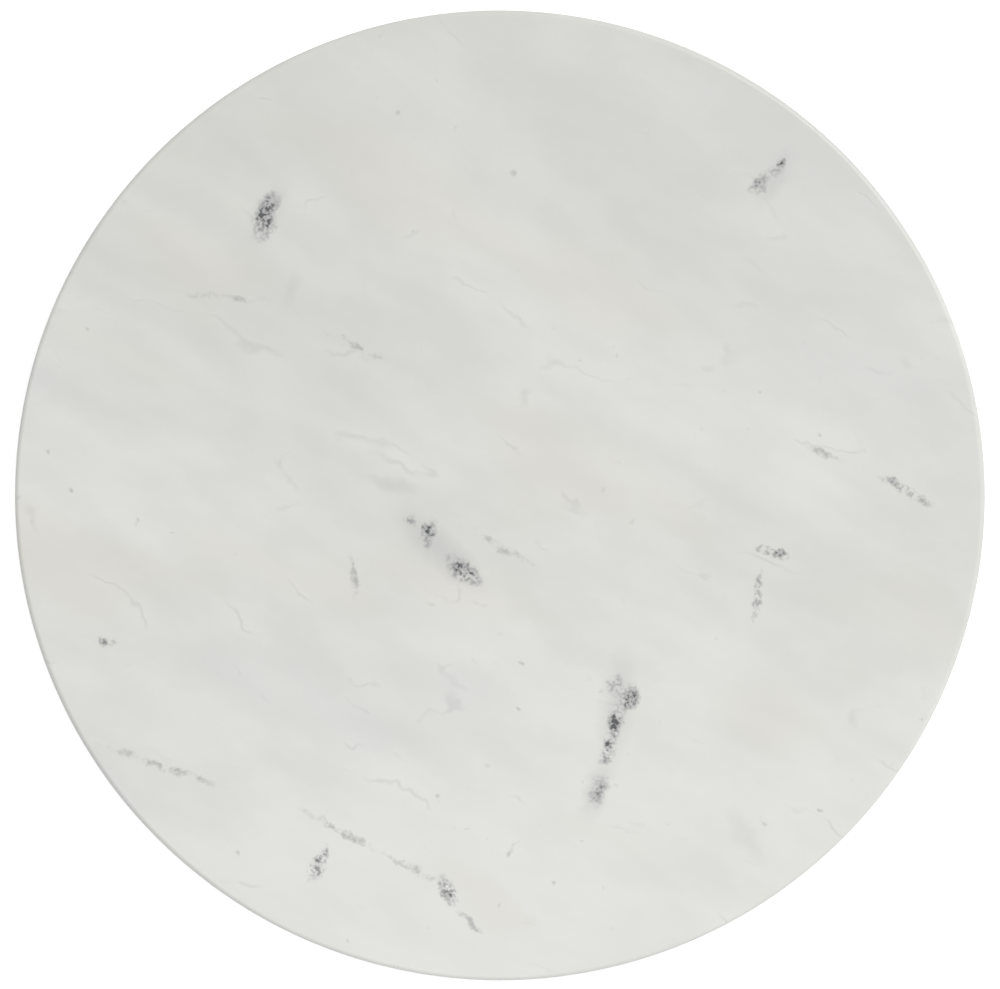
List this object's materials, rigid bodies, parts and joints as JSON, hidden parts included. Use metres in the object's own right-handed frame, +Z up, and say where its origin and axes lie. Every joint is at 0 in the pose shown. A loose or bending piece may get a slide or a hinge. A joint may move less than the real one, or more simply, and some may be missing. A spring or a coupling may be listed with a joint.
{
  "type": "lazy susan turntable",
  "caption": "Round pale marble serving turntable on a pressed-steel ball bearing, over a smaller round wooden base with rubber feet; the top turns freely.",
  "frame": {"origin": "on the turning axis, on the plane that the rubber feet stand on", "axes": "+Z up along the turning axis, towards the serving surface; +X through the access hole in the base"},
  "size_m": [0.4, 0.4, 0.04],
  "materials": {
    "marble": "satin",
    "wood": "satin",
    "zinc_steel": "satin",
    "washer_steel": "satin",
    "screw_steel": "polished",
    "ball_steel": "polished",
    "nylon": "satin",
    "brass": "satin",
    "rubber": "matte"
  },
  "bodies": {
    "base": {"wooden_base": "wood", "lower_bearing_plate": "zinc_steel", "base_screw_01": "screw_steel", "base_screw_02": "screw_steel", "base_screw_03": "screw_steel", "base_screw_04": "screw_steel", "foot_screw_01": "screw_steel", "foot_screw_02": "screw_steel", "foot_screw_03": "screw_steel", "foot_screw_04": "screw_steel", "rubber_foot_01": "rubber", "rubber_foot_02": "rubber", "rubber_foot_03": "rubber", "rubber_foot_04": "rubber", "foot_washer_01": "washer_steel", "foot_washer_02": "washer_steel", "foot_washer_03": "washer_steel", "foot_washer_04": "washer_steel"},
    "ball_ring": {"ball_cage": "nylon", "bearing_ball_01": "ball_steel", "bearing_ball_02": "ball_steel", "bearing_ball_03": "ball_steel", "bearing_ball_04": "ball_steel", "bearing_ball_05": "ball_steel", "bearing_ball_06": "ball_steel", "bearing_ball_07": "ball_steel", "bearing_ball_08": "ball_steel", "bearing_ball_09": "ball_steel", "bearing_ball_10": "ball_steel", "bearing_ball_11": "ball_steel", "bearing_ball_12": "ball_steel", "bearing_ball_13": "ball_steel", "bearing_ball_14": "ball_steel", "bearing_ball_15": "ball_steel", "bearing_ball_16": "ball_steel", "bearing_ball_17": "ball_steel", "bearing_ball_18": "ball_steel", "bearing_ball_19": "ball_steel", "bearing_ball_20": "ball_steel", "bearing_ball_21": "ball_steel", "bearing_ball_22": "ball_steel", "bearing_ball_23": "ball_steel", "bearing_ball_24": "ball_steel"},
    "turntable": {"marble_top": "marble", "upper_bearing_plate": "zinc_steel", "threaded_insert_01": "brass", "threaded_insert_02": "brass", "threaded_insert_03": "brass", "threaded_insert_04": "brass", "top_screw_01": "screw_steel", "top_screw_02": "screw_steel", "top_screw_03": "screw_steel", "top_screw_04": "screw_steel"}
  },
  "joints": [
    {"name": "turntable_spin", "type": "hinge", "parent": "base", "child": "turntable", "pos_m": [0, 0, 0.02], "axis": [0, 0, 1], "continuous": true},
    {"name": "ball_ring_spin", "type": "hinge", "parent": "base", "child": "ball_ring", "pos_m": [0, 0, 0.02], "axis": [0, 0, 1], "continuous": true}
  ],
  "couplings": [
    {"joint": "ball_ring_spin", "follows": "turntable_spin", "ratio": 0.5}
  ]
}
